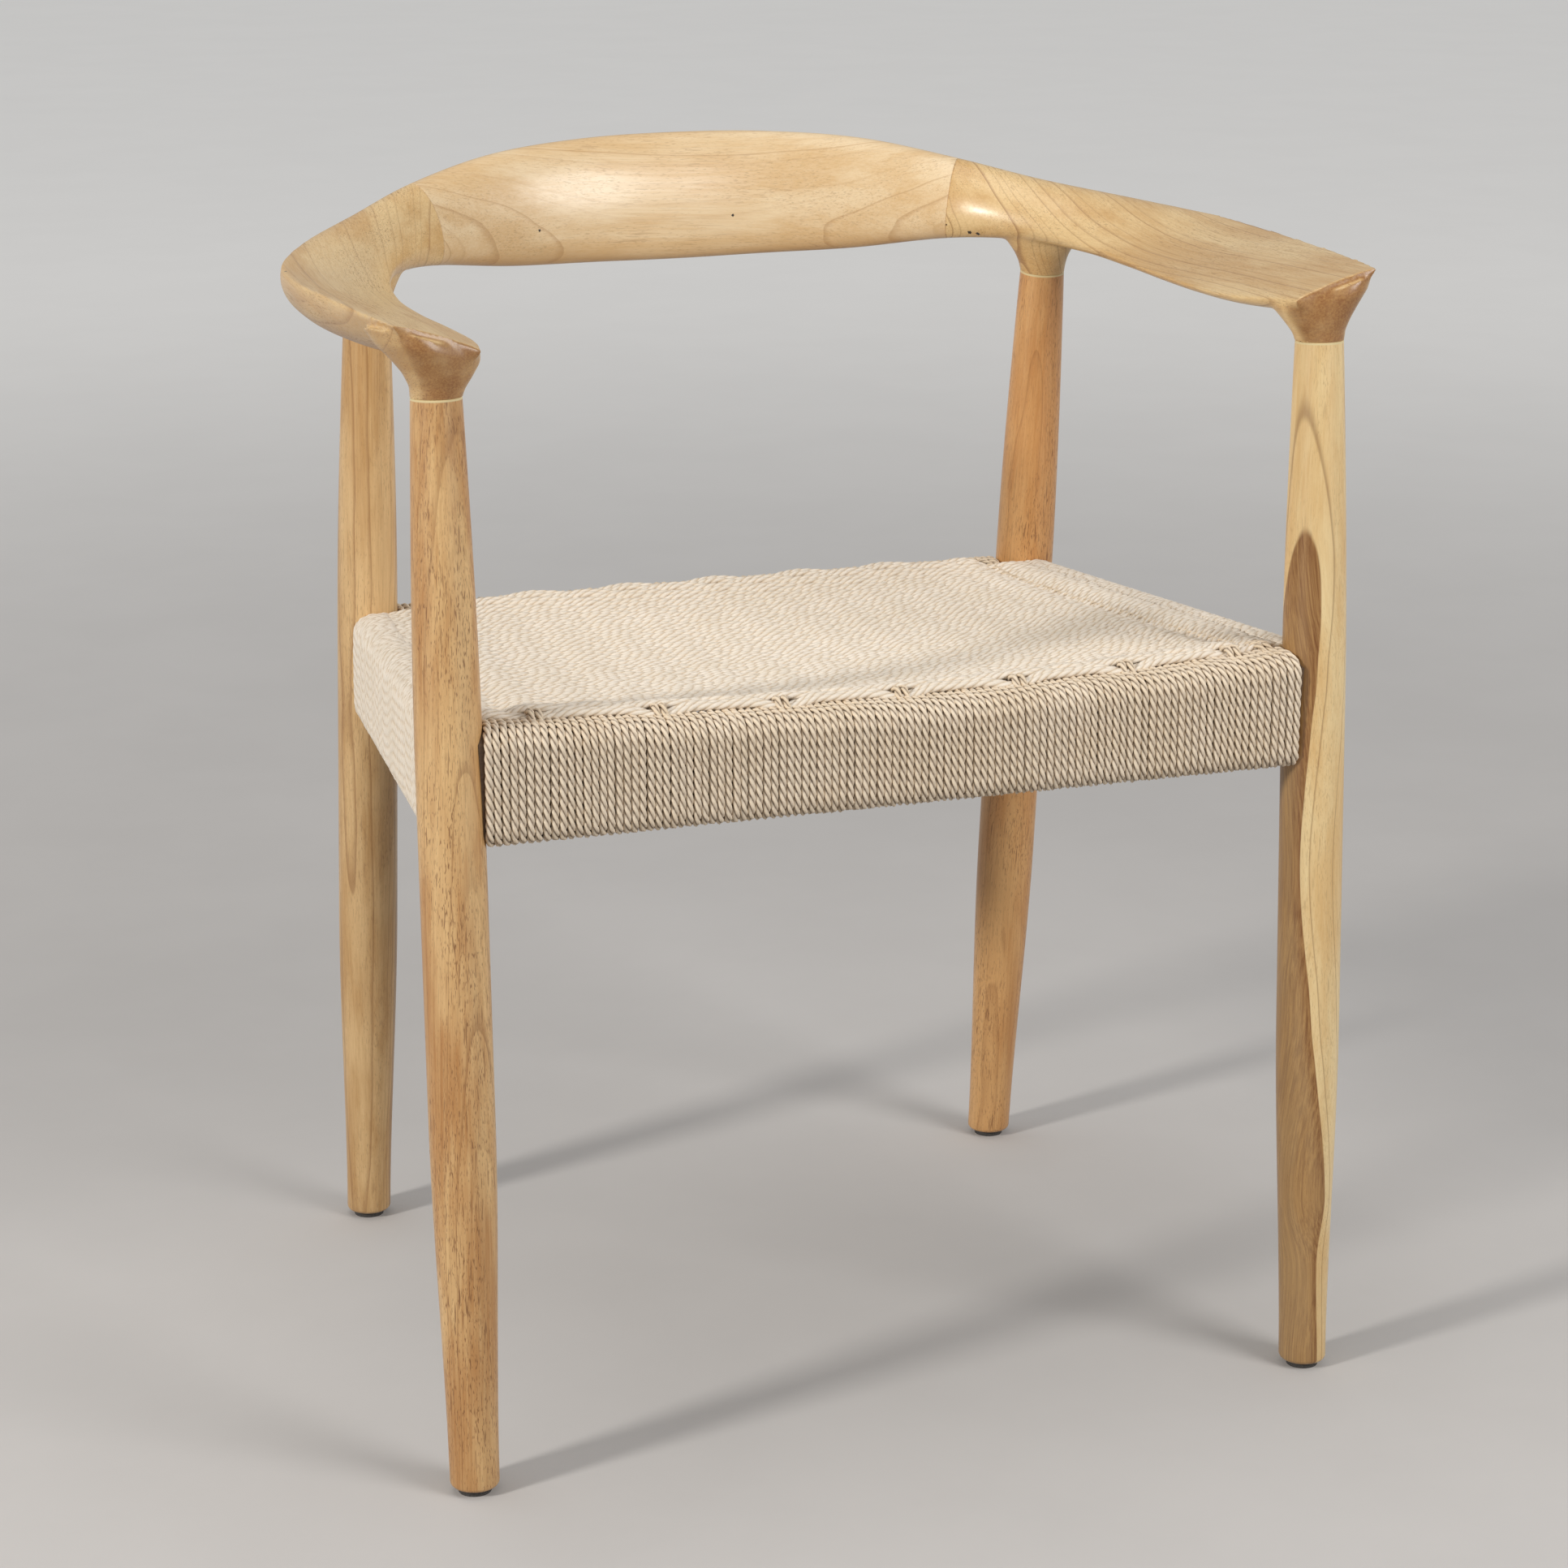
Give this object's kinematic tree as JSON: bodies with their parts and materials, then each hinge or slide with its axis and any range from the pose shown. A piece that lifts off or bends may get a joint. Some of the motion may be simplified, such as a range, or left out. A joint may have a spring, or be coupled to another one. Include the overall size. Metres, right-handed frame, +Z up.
{
  "type": "armchair",
  "caption": "Wooden armchair with swelled round legs, a one-line top rail that turns from back into flat arms, and a seat woven from twisted cord.",
  "frame": {"origin": "centre of the chair's outline on the floor", "axes": "+Z up, -Y to the front where the sitter's knees are, +X to the right seen from the front"},
  "size_m": [0.6358, 0.489, 0.7405],
  "materials": {
    "wood": "satin lacquer",
    "inner_wood": "sawn",
    "paper_cord": "matte twisted cord",
    "nail_steel": "plain",
    "glide_plastic": "matte"
  },
  "bodies": {
    "root": {"back_rest": "wood", "arm_left": "wood", "arm_right": "wood", "splice_dowels_left": "inner_wood", "splice_dowels_right": "inner_wood", "leg_front_left": "wood", "leg_front_right": "wood", "leg_rear_left": "wood", "leg_rear_right": "wood", "rail_front": "inner_wood", "rail_rear": "inner_wood", "rail_left": "inner_wood", "rail_right": "inner_wood", "cord_nails_front": "nail_steel", "cord_nails_rear": "nail_steel", "cord_nails_left": "nail_steel", "cord_nails_right": "nail_steel", "front_wrap": "paper_cord", "rear_wrap": "paper_cord", "left_wrap": "paper_cord", "right_wrap": "paper_cord", "seat_weave": "paper_cord", "glide_front_left": "glide_plastic", "glide_front_right": "glide_plastic", "glide_rear_left": "glide_plastic", "glide_rear_right": "glide_plastic"}
  },
  "joints": []
}
